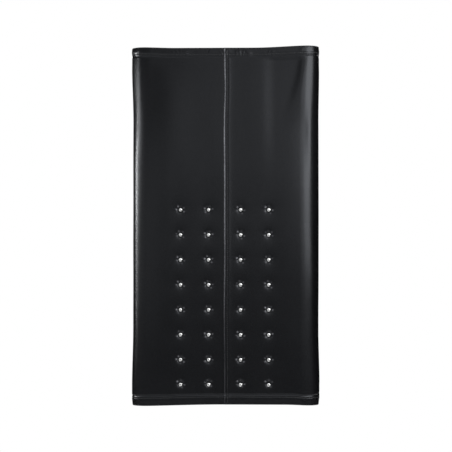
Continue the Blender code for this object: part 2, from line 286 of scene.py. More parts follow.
def grain_group():
    """Pebbled grain of embossed vinyl: Height, and how deep in a crease a spot is."""
    inputs = {"Vector": (0, 0, 0), "Scale": 900.0}
    group, given, wanted = new_group("vinyl_grain", inputs, ("Height", "Crease"))
    bend = times(group, noise(group, given["Vector"], 240.0, 2.0), 0.0012)
    bend = node(group, "ShaderNodeCombineXYZ", {0: bend}).outputs[0]
    bent = vector_maths(group, "ADD", given["Vector"], bend)
    to_edge = voronoi(group, bent, given["Scale"], "DISTANCE_TO_EDGE")["Distance"]
    crease = spread(group, to_edge, 0.02, 0.22, 1.0, 0.0)
    pebble = maths(group, "SUBTRACT", 1.0, crease)
    fine = noise(group, given["Vector"], 2600.0, 2.0)
    group.links.new(plus(group, pebble, fine, 0.25), wanted["Height"])
    group.links.new(crease, wanted["Crease"])
    return group


def wear_group():
    """Patches of handling and fine dust: a slow mask and a speckled one."""
    inputs = {"Vector": (0, 0, 0), "Amount": 0.5}
    group, given, wanted = new_group("handling", inputs, ("Patches", "Dust"))
    slow = noise(group, given["Vector"], 9.0, 4.0, 0.55)
    speck = noise(group, given["Vector"], 420.0, 3.0, 0.7)
    for title, source, low, high in (("Patches", slow, 0.42, 0.68), ("Dust", speck, 0.62, 0.8)):
        mask = spread(group, source, low, high, 0.0, 1.0)
        group.links.new(times(group, mask, given["Amount"]), wanted[title])
    return group


def scratch_group():
    """Fine brushed lines and handling marks on metal."""
    inputs = {"Vector": (0, 0, 0), "Stretch": (1, 1, 1)}
    group, given, wanted = new_group("metal_marks", inputs, ("Lines", "Blotches"))
    stretched = vector_maths(group, "MULTIPLY", given["Vector"], given["Stretch"])
    group.links.new(noise(group, stretched, 900.0, 3.0, 0.7), wanted["Lines"])
    group.links.new(noise(group, given["Vector"], 130.0, 3.0, 0.6), wanted["Blotches"])
    return group


GRAIN = grain_group()
WEAR = wear_group()
MARKS = scratch_group()


def placed_group(tree, group, **inputs):
    return node(tree, "ShaderNodeGroup", inputs, node_tree=group).outputs


def new_material(name, **constants):
    material = bpy.data.materials.new(name)
    material.use_nodes = True
    tree = material.node_tree
    shader = tree.nodes["Principled BSDF"]
    for key, value in constants.items():
        shader.inputs[key.replace("_", " ")].default_value = value
    return material, tree, shader


def feed(shader, **sockets):
    """Links sockets to the shader's inputs, such as Base_Color."""
    for key, socket in sockets.items():
        shader.id_data.links.new(socket, shader.inputs[key.replace("_", " ")])


def mixed(tree, factor, first, second):
    """A blend of two colours, each a socket or an (r, g, b)."""
    first, second = (
        colour if isinstance(colour, bpy.types.NodeSocket) else (*colour, 1) for colour in (first, second)
    )
    made = node(tree, "ShaderNodeMix", {0: factor, 6: first, 7: second}, data_type="RGBA")
    return made.outputs[2]


def toned(colour, share):
    return [channel * share for channel in colour]


def bumped(tree, shader, height, strength, distance):
    inputs = {"Height": height, "Strength": strength, "Distance": distance}
    feed(shader, Normal=node(tree, "ShaderNodeBump", inputs).outputs[0])


# ---------------------------------------------------------------- materials


# HIGHLIGHT_GREY is the grey of painted highlights on the black vinyl: the fold of the seam, the pucker
# crests and specks on the top hem.
HIGHLIGHT_GREY = (0.17, 0.17, 0.185)
COOL_SHINE = (0.89, 0.93, 1.0, 1.0)


def vinyl_material(name, base, shine, grain_depth):
    material, tree, shader = new_material(
        name, Specular_IOR_Level=0.30, Specular_Tint=COOL_SHINE
    )
    where = place_of(tree)
    grain = placed_group(tree, GRAIN, Vector=where, Scale=950.0)
    wear = placed_group(tree, WEAR, Vector=where, Amount=0.6)
    tone = mixed(tree, wear["Patches"], base, toned(base, 1.35))
    # The base colour is darkened to 0.6 in the creases of the grain: painted shade.
    crease_shaded = mixed(tree, grain["Crease"], tone, toned(base, 0.6))
    dusty = mixed(tree, times(tree, wear["Dust"], 0.05), crease_shaded, (0.2, 0.2, 0.2))
    # The painted_highlight attribute lightens the black towards HIGHLIGHT_GREY, broken up by noise:
    # painted highlights.
    painted = node(tree, "ShaderNodeAttribute", attribute_name="painted_highlight").outputs["Fac"]
    broken = spread(tree, noise(tree, where, 260.0, 3.0, 0.6), 0.30, 0.62, 0.45, 1.0)
    painted_highlight = maths(tree, "MULTIPLY", painted, broken, clamp=True)
    rough = plus(tree, plus(tree, shine, wear["Patches"], 0.06), grain["Crease"], 0.05)
    feed(shader, Base_Color=mixed(tree, painted_highlight, dusty, HIGHLIGHT_GREY), Roughness=rough)
    bumped(tree, shader, grain["Height"], grain_depth, 0.00012)
    return material


def thread_material(name, base):
    material, tree, shader = new_material(name, Sheen_Weight=0.2)
    twist = wave(tree, place_of(tree), 900.0, 2.0, "DIAGONAL")
    rough = spread(tree, twist, 0, 1, 0.6, 0.45)
    # The colour is lighter along the crests of the twist: painted sheen.
    feed(shader, Base_Color=mixed(tree, twist, base, toned(base, 1.9)), Roughness=rough)
    bumped(tree, shader, twist, 0.5, 0.0002)
    return material


def weave_material(name, base, pitch, strength=0.6):
    """Plain-woven cloth: threads over and under at the given pitch."""
    material, tree, shader = new_material(name, Roughness=0.85, Sheen_Weight=0.15)
    where = place_of(tree)
    over, under = (wave(tree, where, 0.314 / pitch, 0.4, direction) for direction in ("X", "Z"))
    slub = noise(tree, where, 180.0, 3.0, 0.6)
    height = plus(tree, times(tree, over, under), slub, 0.4)
    # The colour is darkened to 0.55 where the threads dip under: painted shade.
    feed(shader, Base_Color=mixed(tree, height, toned(base, 0.55), base))
    bumped(tree, shader, height, strength, pitch * 0.4)
    return material


def dust_cloth_material():
    """Spun-bonded cloth: matted fibres with a grid of embossed dots."""
    material, tree, shader = new_material("spun_bonded_cloth", Roughness=0.88, Sheen_Weight=0.1)
    where = place_of(tree)
    dots = voronoi(tree, where, 520.0, randomness=0.15)["Distance"]
    pressed = spread(tree, dots, 0.18, 0.34, 0.0, 1.0)
    fibre = noise(tree, scaled(tree, where, (1.0, 1.0, 0.3)), 900.0, 4.0, 0.75, 1.5)
    height = times(tree, pressed, spread(tree, fibre, 0.30, 0.70, 0.35, 1.0))
    # The colour is darker where the cloth is pressed in at the dots and between the fibres: painted
    # shade.
    feed(shader, Base_Color=mixed(tree, height, (0.006, 0.006, 0.007), (0.03, 0.03, 0.032)))
    bumped(tree, shader, height, 0.5, 0.0002)
    return material


def plywood_material():
    material, tree, shader = new_material("birch_plywood")
    where = place_of(tree)
    bent = noise(tree, scaled(tree, where, (1.0, 1.0, 0.12)), 22.0, 3.0, 0.5, 0.6)
    rings = wave(tree, scaled(tree, where, (1.0, 1.0, 0.06)), 14.0, 7.0, "X", 2.0)
    pores = noise(tree, scaled(tree, where, (1.0, 1.0, 0.04)), 900.0, 2.0, 0.6)
    figure = times(tree, maths(tree, "ADD", rings, bent), 0.5)
    warm = mixed(tree, figure, (0.46, 0.30, 0.16), (0.68, 0.50, 0.31))
    marked = mixed(tree, spread(tree, pores, 0.55, 0.75, 0.0, 0.5), warm, (0.30, 0.18, 0.09))
    feed(shader, Base_Color=marked, Roughness=spread(tree, pores, 0.3, 0.7, 0.55, 0.75))
    bumped(tree, shader, maths(tree, "ADD", figure, pores), 0.25, 0.0003)
    return material


def metal_material(name, base, shine, stretch, blotch=0.06):
    material, tree, shader = new_material(name, Metallic=1.0)
    marks = placed_group(tree, MARKS, Vector=place_of(tree), Stretch=stretch)
    colour = mixed(tree, marks["Blotches"], base, toned(base, 0.82))
    rough = plus(tree, plus(tree, shine, marks["Blotches"], blotch), marks["Lines"], blotch)
    feed(shader, Base_Color=colour, Roughness=rough)
    bumped(tree, shader, marks["Lines"], 0.08, 0.0001)
    return material


def foam_material(name, base, chip, scale):
    """Cut foam: open cells, and coloured chips where it is bonded from scrap."""
    material, tree, shader = new_material(name, Roughness=0.95)
    where = place_of(tree)
    pores = voronoi(tree, where, scale * 12)["Distance"]
    chips = voronoi(tree, where, scale)["Color"]
    pick = node(tree, "ShaderNodeSeparateColor", {"Color": chips}).outputs[0]
    shade = spread(tree, pores, 0.0, 0.5, 0.5, 0.0)
    tone = mixed(tree, pick, base, chip)
    feed(shader, Base_Color=mixed(tree, shade, tone, (0.01, 0.01, 0.01)))
    bumped(tree, shader, pores, 0.7, 0.0006)
    return material


VINYL_FINISH = vinyl_material("black_vinyl", (0.0032, 0.0032, 0.0037), 0.25, 0.12)
INNER_VINYL = vinyl_material("black_vinyl_end_panel", (0.0045, 0.0045, 0.0050), 0.30, 0.25)
THREAD = thread_material("black_thread", (0.012, 0.012, 0.013))
WEBBING = weave_material("black_webbing", (0.02, 0.02, 0.022), 0.0012)
DUST_CLOTH = dust_cloth_material()
PLYWOOD = plywood_material()
NICKEL = metal_material("polished_nickel", (0.90, 0.90, 0.89), 0.10, (1, 1, 1))
ZINC = metal_material("zinc_plate", (0.62, 0.63, 0.64), 0.26, (1.0, 1.0, 0.1), 0.14)
STAPLE = metal_material("galvanised_wire", (0.60, 0.61, 0.62), 0.30, (1, 1, 1), 0.1)
WADDING = weave_material("polyester_wadding", (0.75, 0.75, 0.72), 0.004, 0.9)
FACE_FOAM = foam_material("face_foam", (0.28, 0.29, 0.31), (0.30, 0.31, 0.33), 90.0)
CORE_FOAM = foam_material("bonded_core_foam", (0.30, 0.34, 0.45), (0.62, 0.45, 0.42), 70.0)
BASE_FOAM = foam_material("base_foam", (0.05, 0.05, 0.055), (0.06, 0.06, 0.065), 160.0)
RUBBER = vinyl_material("rubber_sheet", (0.02, 0.02, 0.02), 0.62, 0.6)


# ---------------------------------------------------------------- sleeve shape


COLUMNS = sorted({round(abs(x), 4) for x, _ in RIVETS.values()})
ROW_HEIGHTS = sorted({round(z, 5) for _, z in RIVETS.values()})


def lines_near(low, high, coarse, fine, centres, reach):
    """Places from low to high, fine within reach of each centre and coarse elsewhere."""
    places = [low]
    while places[-1] < high - 1e-9:
        gap = min(abs(places[-1] - centre) for centre in centres)
        step = fine if gap <= reach else min(coarse, fine + (gap - reach) * 0.5)
        places.append(min(high, places[-1] + step))
    return places


EDGE_STEPS, SIDE_STEPS, BACK_STEPS, FLAP_STEPS = 22, 13, 4, 8

def round_the_sleeve(front):
    """Stations round one panel from the centre seam to the edge of its flap, for these places
    across the front. Each is (distance, across, depth, outward across, outward depth)."""
    front_end = HALF_WIDTH - EDGE_RADIUS
    stations = [(x, x, DEPTH, 0.0, 1.0) for x in front]
    so_far = front_end
    for angle in np.linspace(0, math.pi / 2, EDGE_STEPS + 1)[1:]:
        across = front_end + EDGE_RADIUS * math.sin(angle)
        depth = DEPTH - EDGE_RADIUS + EDGE_RADIUS * math.cos(angle)
        stations.append(
            (so_far + EDGE_RADIUS * angle, across, depth, math.sin(angle), math.cos(angle))
        )
    so_far += EDGE_RADIUS * math.pi / 2
    low = FLAP_DEPTH + BACK_RADIUS
    wall = DEPTH - EDGE_RADIUS - low
    for share in np.linspace(0, 1, SIDE_STEPS + 1)[1:]:
        stations.append((so_far + wall * share, HALF_WIDTH, low + wall * (1 - share), 1.0, 0.0))
    so_far += wall
    for angle in np.linspace(0, math.pi / 2, BACK_STEPS + 1)[1:]:
        across = HALF_WIDTH - BACK_RADIUS * (1 - math.cos(angle))
        depth = low - BACK_RADIUS * math.sin(angle)
        stations.append(
            (so_far + BACK_RADIUS * angle, across, depth, math.cos(angle), -math.sin(angle))
        )
    so_far += BACK_RADIUS * math.pi / 2
    flap = HALF_WIDTH - BACK_RADIUS - FLAP_X
    for share in np.linspace(0, 1, FLAP_STEPS + 1)[1:]:
        across = HALF_WIDTH - BACK_RADIUS - flap * share
        stations.append((so_far + flap * share, across, FLAP_DEPTH, 0.0, -1.0))
    return np.array(stations)


FRONT = [
    *np.arange(0.0, 0.0044, 0.0004),
    *np.arange(0.0044, 0.0125, 0.0009),
    *lines_near(0.0128, HALF_WIDTH - EDGE_RADIUS, 0.0055, 0.0010, COLUMNS, 0.0095),
]
PATH = round_the_sleeve(FRONT)
LENGTH = float(PATH[-1, 0])
SIDE_END = float(PATH[-1 - FLAP_STEPS - BACK_STEPS, 0])  # where the side meets the back


def stations_at(distances):
    """Stations at these distances round a panel. A negative one has crossed the centre seam."""
    distances = np.asarray(distances, float)
    columns = [np.interp(distances, PATH[:, 0], PATH[:, i]) for i in range(1, 5)]
    columns[0] = np.where(distances < 0, distances, columns[0])
    out = np.hypot(columns[2], columns[3])
    return np.stack([distances, columns[0], columns[1], columns[2] / out, columns[3] / out], axis=1)


CLOTH_POINTS = 121  # up and around
CLOTH_FRAMES = 20
CLOTH_SETTINGS = {
    "quality": 5,
    "mass": 0.35,
    "tension_stiffness": 30,
    "compression_stiffness": 30,
    "shear_stiffness": 12,
    "bending_stiffness": 4,
    "air_damping": 2,
    "use_pressure": True,
    "uniform_pressure_force": 4,
    "vertex_group_mass": "held",
    "shrink_min": -0.004,
}


def simulate_cover():
    """Inflates the vinyl over the foam, held at the rivets, the ends and the back, and returns
    how far it stands out, as a table over (signed distance round the sleeve, height)."""
    around = np.linspace(-LENGTH, LENGTH, CLOTH_POINTS)
    up = np.linspace(-STACK_Z, STACK_Z, CLOTH_POINTS)
    start()
    bpy.ops.mesh.primitive_grid_add(
        x_subdivisions=len(around) - 1, y_subdivisions=len(up) - 1, size=1
    )
    cloth = named("cover_trial")
    side = np.where(around < 0, -1, 1)
    table = stations_at(abs(around))
    across, depth, front = table[:, 1] * side, table[:, 2], table[:, 4]
    points = np.empty((len(up), len(around), 3))
    points[:, :, 0] = across[None, :]
    points[:, :, 1] = -depth[None, :]
    points[:, :, 2] = up[:, None]
    cloth.data.vertices.foreach_set("co", points.reshape(-1))
    pinned = np.zeros((len(up), len(around)), bool)
    pinned[[0, -1], :] = True
    pinned[:, depth < BOARD_DEPTH + 0.004] = True
    for rivet_x, rivet_z in RIVETS.values():
        gap = np.hypot(across[None, :] - rivet_x, up[:, None] - rivet_z)
        gap[:, front < 0.99] = 1.0
        pinned |= gap == gap.min()
    held = cloth.vertex_groups.new(name="held")
    held.add([int(i) for i in np.flatnonzero(pinned.reshape(-1))], 1.0, "REPLACE")
    modifier = cloth.modifiers.new("cloth", "CLOTH")
    for key, value in CLOTH_SETTINGS.items():
        setattr(modifier.settings, key, value)
    modifier.settings.effector_weights.gravity = 0
    modifier.collision_settings.use_collision = False
    modifier.point_cache.frame_start = 1
    modifier.point_cache.frame_end = CLOTH_FRAMES
    for step in range(1, CLOTH_FRAMES + 1):
        bpy.context.scene.frame_set(step)
    apply_modifiers(cloth)
    bpy.context.scene.frame_set(1)
    moved = np.empty(points.size)
    cloth.data.vertices.foreach_get("co", moved)
    moved = moved.reshape(points.shape) - points
    outward = np.stack([table[:, 3] * side, -front, np.zeros(len(around))], axis=1)
    stands = (moved * outward[None, :, :]).sum(axis=2)
    discard(cloth)
    return around, up, stands


def softened(table, cells):
    """The table averaged over about this many cells, up and down and then across."""
    for spread_over in cells:
        reach = int(3 * spread_over) + 1
        weights = np.exp(-0.5 * (np.arange(-reach, reach + 1) / spread_over) ** 2)
        padded = np.pad(table, ((reach, reach), (0, 0)), mode="edge")
        total = sum(w * padded[i : i + len(table)] for i, w in enumerate(weights))
        table = (total / weights.sum()).T
    return table


SIM_AROUND, SIM_UP, SIM_STANDS = simulate_cover()
# The foam bears most of the pressure, and hardly lets the vinyl sink in.
SHARE_OUT, SHARE_IN = 0.36, 0.08
CELLS_UP, CELLS_AROUND = 6.5, 1.6
SIM_STANDS = SIM_STANDS * np.where(SIM_STANDS > 0, SHARE_OUT, SHARE_IN)
SIM_STANDS = softened(SIM_STANDS, (CELLS_UP, CELLS_AROUND))


def cell_of(places, value):
    """Which cell of an even row of places a value lies in, and how far across it, eased."""
    at = np.clip((value - places[0]) / (places[1] - places[0]), 0, len(places) - 1.001)
    cell = at.astype(int)
    share = at - cell
    return cell, share * share * (3 - 2 * share)


def sampled(around, up):
    """The simulated stand-off at signed distances and heights, between the trial's points."""
    (i, fu), (j, fv) = cell_of(SIM_AROUND, around), cell_of(SIM_UP, up)
    low = SIM_STANDS[j, i] * (1 - fu) + SIM_STANDS[j, i + 1] * fu
    high = SIM_STANDS[j + 1, i] * (1 - fu) + SIM_STANDS[j + 1, i + 1] * fu
    return low * (1 - fv) + high * fv
top_crumple = [Ripple((0.0071, 0.0113, 0.0174)), Ripple((0.031, 0.052, 0.083))]
bottom_crumple = [Ripple((0.0079, 0.0127, 0.0196)), Ripple((0.036, 0.059, 0.097))]
seam_waver = Ripple((0.21, 0.34, 0.51))
pucker_draws = {
    name: (RANDOM.uniform(0, math.tau, 3), RANDOM.uniform(0.75, 1.25, 2)) for name in RIVETS
}


def end_shift(across, up):
    """How far the ends of the sleeve draw in: most in the middle, least at one corner."""
    top = -0.0047 + 0.0020 * ease(-across, 0.10, 0.19) + 0.0047 * ease(across, 0.06, 0.195)
    bottom = 0.0041 * ease(across, -0.21, 0.0) - 0.0021 * ease(across, 0.13, 0.20)
    return top * ease(up, 0.28, 0.372) + bottom * ease(-up, 0.28, 0.372)


def side_stand(side, up):
    """The sides draw in between the stiff hems."""
    ends = ease(abs(up), 0.215, 0.362)
    hips = {1: -0.0029, -1: -0.0028}[side]
    tips = np.where(up > 0, {1: 0.0000, -1: 0.0018}[side], {1: 0.0010, -1: 0.0006}[side])
    return hips * (1 - ends) + tips * ends


def front_lie(across, up):
    """Slow unevenness of the front: a soft step down at the upper right, with a fold beside it."""
    below_hem = 1 - ease(up, 0.352, 0.368)
    step = 0.0009 * hill(across, 0.068, 0.026) - 0.0032 * ease(across, 0.076, 0.110)
    back_up = 0.0043 * ease(across - 0.25 * (up - 0.29), 0.137, 0.163) * ease(up, 0.20, 0.29)
    right = (step * ease(up, 0.06, 0.22) + back_up) * below_hem
    left = -0.0014 * ease(-across, 0.07, 0.18) * ease(up, 0.16, 0.30)
    ridge_part = ease(up, -0.05, 0.10) * (1 - ease(up, 0.26, 0.36))
    return right + left + 0.0020 * hill(across, -0.118, 0.040) * ridge_part


def edge_lie(distance, side, up):
    """The long edges: blunt towards the top on the left, and half-way up on the right."""
    if side < 0:
        return -0.0030 * hill(distance, 0.203, 0.024) * ease(up, 0.12, 0.30)
    middle_part = ease(up, -0.12, 0.02) * (1 - ease(up, 0.20, 0.29))
    top_rise = 0.0010 * hill(distance, 0.188, 0.020) * ease(up, 0.22, 0.33)
    return top_rise - 0.0016 * hill(distance, 0.190, 0.026) * middle_part


def pucker_crest(name, dx, dz):
    """0 to about 1.3: the crests of the short puckers round one rivet, strongest to the sides."""
    phases, sizes = pucker_draws[name]
    turn = np.arctan2(dz, dx)
    waves = np.sin(7 * turn + phases[0]) + 0.8 * sizes[0] * np.sin(5 * turn + phases[1])
    sideways = 0.12 + 0.60 * np.cos(turn + 0.2) ** 2 + 0.55 * hill(turn, 2.6, 0.6)
    return sideways * sizes[1] * np.clip(1.2 * waves - 0.25, 0, 1.3)


PULL_REACH = 0.045  # how far from a rivet its pull is felt


def rivet_pull(across, up, stand):
    """Lowers the surface to the seat of each rivet and gathers it into short puckers."""
    result = stand.copy()
    for name, (rivet_x, rivet_z) in RIVETS.items():
        dx, dz = across - rivet_x, up - rivet_z
        r = np.hypot(dx, dz)
        near = r < PULL_REACH
        if not near.any():
            continue
        gathered = (0.00115 * pucker_crest(name, dx, dz) - 0.00040) * hill(r, 0.0082, 0.0025)
        streak = 0.00022 * hill(dx, 0.0008, 0.0030) * ease(dz, 0.006, 0.013)
        streak = streak * np.exp(-np.maximum(dz, 0) / 0.012)
        broad = -0.0008 * hill(r, 0, 0.015) * (1 - ease(r, 0.030, PULL_REACH))
        result = result + np.where(near, broad + gathered + streak, 0.0)
        fall = hill(np.maximum(r - SEAT_R, 0), 0, 0.0022) * (1 - ease(r, 0.009, 0.013))
        result = result - np.where(near, fall * (DEPTH + result - VINYL_SEAT), 0.0)
    return result

def hem_shape(distance, up, side):
    """The stitched groove, the crease behind it, and the crumples of the hem."""
    total = np.zeros(np.broadcast(distance, up).shape)
    signed = distance * side
    for end, (fine, slow) in ((1, top_crumple), (-1, bottom_crumple)):
        from_edge = HALF_HEIGHT - end * up
        wobble = from_edge + 0.0008 * slow(signed)
        groove = -0.0006 * hill(wobble, HEM_ROW[end], 0.0011)
        crease = -0.0011 * hill(wobble, HEM_CREASE[end], 0.0017)
        if end > 0:
            roll = 0.0005 * hill(from_edge, HEM_ROLL, 0.0045)
            busy = hill(signed, 0.035, 0.055) + hill(signed, -0.185, 0.02) + hill(signed, 0.165, 0.02)
            amount = 0.00025 + 0.00085 * np.clip(busy, 0, 1) * (0.6 + 0.6 * slow(signed))
        else:
            roll = -0.0011 * (1 - ease(from_edge, 0.001, 0.015))
            amount = 0.00008 + 0.00025 * np.clip(slow(signed) + 0.1, 0, 1)
        lean = signed + 0.6 * from_edge * np.tanh(3 * slow(signed * 1.7))
        crumple = amount * fine(lean) * hill(from_edge, HEM_ROW[end] - 0.0045, 0.0060)
        knots = 0.8 * amount * fine(2.3 * signed + 0.02) * hill(from_edge, HEM_ROW[end], 0.0022)
        total = total + groove + crease + roll + crumple + knots
    return total


def seam_shape(distance, side):
    """The right panel is folded under and laid over the left one, and topstitched."""
    if side < 0:
        return -0.0003 * (1 - ease(distance, 0.0, 0.006))
    rise = SEAM_RISE * (1 - ease(distance, SEAM_LAP, SEAM_LAP + 0.008))
    bead = 0.0009 * hill(distance, 0.0002, 0.0012)
    return rise + bead - 0.0004 * hill(distance, SEAM_STITCH, 0.0008)


def skin(side, stations, rows, detail=True):
    """Points of one panel. stations are as from round_the_sleeve, and each row is
    (height, inset), with the inset measured inwards, as where the hem turns inside."""
    rows = np.asarray(rows, float)
    distance, across, depth, out_x, out_d = (stations[None, :, i] for i in range(5))
    up, inset = rows[:, 0:1], rows[:, 1:2]
    flat = np.broadcast_to(out_d, (len(rows), stations.shape[0]))
    front = ease(flat, 0.80, 0.999)
    x = np.broadcast_to(across * side, flat.shape)
    z = np.broadcast_to(up, flat.shape)
    stand = sampled(distance * side + 0 * z, z) * (1 - ease(abs(z), STACK_Z - 0.03, STACK_Z))
    stand = stand * (1 - ease(-flat, 0.0, 0.2))
    stand = stand + side_stand(side, z) * np.clip(out_x, 0, 1) ** 2
    stand = stand + front_lie(x, z) * front + edge_lie(distance, side, z)
    if detail:
        turned_in = 1 - ease(inset, 0.0, HEM_THICK / 2)
        stand = stand + hem_shape(distance, z, side) * turned_in * ease(flat, -0.6, 0.0)
        stand = stand + seam_shape(distance, side) * (flat > 0.5)
        stand = np.where(front > 0.99, rivet_pull(x, z, stand), stand)
    stand = stand - inset
    waver = 0.0007 * seam_waver(z) + 0.0013 * hill(z, 0.29, 0.045)
    x = x + waver * (1 - ease(abs(distance), 0.004, 0.030))
    points = np.empty((*flat.shape, 3))
    points[:, :, 0] = x + out_x * side * stand
    points[:, :, 1] = -(depth + out_d * stand)
    points[:, :, 2] = z + end_shift(x, z)
    return points


# ---------------------------------------------------------------- sleeve pieces


def sheet_of(name, points, flip):
    """A grid shaped to these points, (row, station, xyz)."""
    rows, columns, _ = points.shape
    start()
    bpy.ops.mesh.primitive_grid_add(x_subdivisions=columns - 1, y_subdivisions=rows - 1, size=1)
    sheet = named(name)
    sheet.data.vertices.foreach_set("co", points.reshape(-1))
    if flip:
        sheet.data.flip_normals()
    sheet.data.update()
    return sheet


def cut_cells(sheet, columns, unwanted):
    """Deletes the cells of a sheet_of that the test picks by row and column."""

    def test(face):
        first = min(vertex.index for vertex in face.verts)
        return unwanted(first // columns, first % columns)

    choose(sheet, "FACE", test)
    bpy.ops.mesh.delete(type="FACE")
    bpy.ops.object.mode_set(mode="OBJECT")


def thickened(obj, thickness):
    """Gives a sheet its thickness, inwards from the modelled face."""
    modifier = obj.modifiers.new("thickness", "SOLIDIFY")
    modifier.thickness = thickness
    modifier.offset = -1.0
    return apply_modifiers(obj)


def sleeve_rows():
    """Heights up the panel, with the hem rolled over and turned inside at both ends."""
    roll = HEM_THICK / 2
    stitch_rows = [
        end * (HALF_HEIGHT - up)
        for end in (-1, 1)
        for up in (HEM_ROLL, HEM_ROW[end], HEM_CREASE[end])
    ]
    end_z = HALF_HEIGHT - roll
    flat = lines_near(-end_z, end_z, 0.0060, 0.0010, [*ROW_HEIGHTS, *stitch_rows], 0.0092)
    top = []
    for angle in np.linspace(0, math.pi, 9)[1:]:
        top.append((HALF_HEIGHT - roll + roll * math.sin(angle), roll * (1 - math.cos(angle))))
    facing_low = STACK_Z + 0.0008
    for share in np.linspace(0, 1, 9)[1:]:
        top.append((HALF_HEIGHT - roll + share * (facing_low - HALF_HEIGHT + roll), HEM_THICK))
    bottom = [(-z, inset) for z, inset in reversed(top)]
    return bottom + [(z, 0.0) for z in flat] + top


# (across, depth) of the folded edge of the right panel, from where its front begins
NOSE = [
    (-0.0002, -0.0020),
    (-0.0008, -0.0019),
    (-0.0012, -0.0014),
    (-0.0010, -0.0007),
    (-0.0005, -0.0002),
]


def panel_stations(side):
    """The stations of a panel. The right one begins with its folded edge, and the left one
    under that fold."""
    if side < 0:
        return np.vstack([stations_at([-0.0050, -0.0025]), PATH])
    nose = stations_at([0.0] * len(NOSE))
    for row, (across, drop) in zip(nose, NOSE):
        row[1] += across
        row[2] += drop
    return np.vstack([nose, PATH])


def painted_highlight_places(side, stations, rows):
    """Where highlights are painted into the black as grey: the fold of the seam, weakest at the bottom,
    the crests of the puckers, and specks on the crumples of the top hem.
    """
    up = np.array([z for z, _ in rows])[:, None]
    inset = np.array([inset for _, inset in rows])[:, None]
    distance = np.broadcast_to(stations[None, :, 0], (len(rows), len(stations)))
    x = distance * side
    painted = np.zeros(distance.shape)
    if side > 0:
        length_wise = 0.17 + 0.50 * ease(up, -0.28, -0.03) + 0.34 * ease(up, -0.03, 0.12)
        length_wise = length_wise - 0.30 * ease(up, 0.17, 0.28)
        length_wise = length_wise * (0.88 + 0.30 * seam_waver(3 * up))
        painted = painted + length_wise * (1 - ease(distance, 0.0007, 0.0019))
    for name, (rivet_x, rivet_z) in RIVETS.items():
        dx, dz = x - rivet_x, up - rivet_z
        r = np.hypot(dx, dz)
        crests = 0.95 * pucker_crest(name, dx, dz) * hill(r, 0.0083, 0.0015)
        painted = painted + np.where(r < 0.02, crests, 0.0)
    from_edge = HALF_HEIGHT - up
    broken = top_crumple[0](3.1 * x + 0.02) * top_crumple[0](1.3 * x + 40 * from_edge * (0.3 + x))
    busy = hill(x, 0.028, 0.045) + 0.6 * hill(x, -0.080, 0.012) + 0.5 * hill(x, 0.185, 0.012)
    specks = np.clip(broken - 0.10, 0, 1) * busy * hill(from_edge, HEM_ROW[1] - 0.002, 0.0045)
    return np.clip(painted + 0.8 * specks, 0, 1) * (inset < 0.0005)


def make_panel(name, side, node_name):
    """One half of the sleeve. Past the end panels it has no flap, so that none hangs free."""
    stations, rows = panel_stations(side), sleeve_rows()
    panel = sheet_of(name, skin(side, stations, rows), flip=side < 0)
    # This attribute carries the painted highlights of the seam fold, pucker crests and hem specks to the
    # vinyl's material.
    paint = panel.data.attributes.new("painted_highlight", "FLOAT", "POINT")
    paint.data.foreach_set("value", painted_highlight_places(side, stations, rows).reshape(-1))
    last = len(stations) - 1 - FLAP_STEPS - BACK_STEPS
    free = [abs(z) > STACK_Z - 0.0005 for z, _ in rows]
    turned = [inset > 1e-5 or abs(z) > HALF_HEIGHT - 0.0015 for z, inset in rows]
    fold = len(NOSE) if side > 0 else 0

    def unwanted(row, column):
        if column < fold:
            return turned[row] or turned[row + 1]
        return column >= last and (free[row] or free[row + 1])

    cut_cells(panel, len(stations), unwanted)
    thickened(panel, VINYL)
    smooth(panel, 60)
    return dress(panel, VINYL_FINISH, "vinyl", node_name)


def full_width(rows, every):
    """Points of both halves side by side, round to where the sides end, without the details."""
    keep = PATH[PATH[:, 0] <= SIDE_END + TINY][::every]
    left, right = (skin(side, keep, rows, detail=False) for side in (-1, 1))
    return np.concatenate([left[:, :0:-1], right], axis=1)


def make_hem_webbing(name, end, node_name):
    """A band of webbing between the hem's two layers of vinyl."""
    from_end = (0.0215, 0.0170, 0.0120, 0.0070, 0.0028)
    rows = [(end * (HALF_HEIGHT - up), HEM_THICK / 2 - 0.0007) for up in from_end]
    band = sheet_of(name, full_width(rows, 2), flip=end < 0)
    thickened(band, WEBBING_THICK)
    smooth(band, 60)
    return dress(band, WEBBING, "webbing", node_name)


WADDING_HOLE = 0.0165  # radius left free round a rivet


def make_wadding():
    """Wadding that follows the inside of the vinyl."""
    points = full_width([(z, WADDING_INSET) for z in np.linspace(-STACK_Z, STACK_Z, 90)], 3)
    wadding = sheet_of("wadding_wrap", points, flip=False)
    middles = (points[:-1, :-1] + points[1:, 1:]) / 2
    holes = np.zeros(middles.shape[:2], bool)
    for rivet_x, rivet_z in RIVETS.values():
        gap = np.hypot(middles[:, :, 0] - rivet_x, middles[:, :, 2] - rivet_z)
        holes |= (gap < WADDING_HOLE) & (middles[:, :, 1] < -0.09)
    cut_cells(wadding, points.shape[1], lambda row, column: holes[row, column])
    thickened(wadding, WADDING_THICK)
    smooth(wadding)
    return dress(wadding, WADDING, "wadding", "wadding")


# ---------------------------------------------------------------- stitching


def make_stitch(length, thick):
    """One stitch along X, arched over Z: its ends go down into the cloth."""
    start()
    bpy.ops.mesh.primitive_cylinder_add(
        vertices=6,
        radius=thick / 2,
        depth=length,
        end_fill_type="NOTHING",
        rotation=(0, math.pi / 2, 0),
    )
    stitch = rest_at_origin(named("stitch"))
    bpy.ops.object.mode_set(mode="EDIT")
    bpy.ops.mesh.select_all(action="SELECT")
    bpy.ops.mesh.subdivide(number_cuts=1, quadcorner="INNERVERT")
    bpy.ops.object.mode_set(mode="OBJECT")
    for vertex in stitch.data.vertices:
        share = vertex.co.x / (length / 2)
        vertex.co.z += 0.35 * thick - 0.85 * thick * share**2
    return stitch


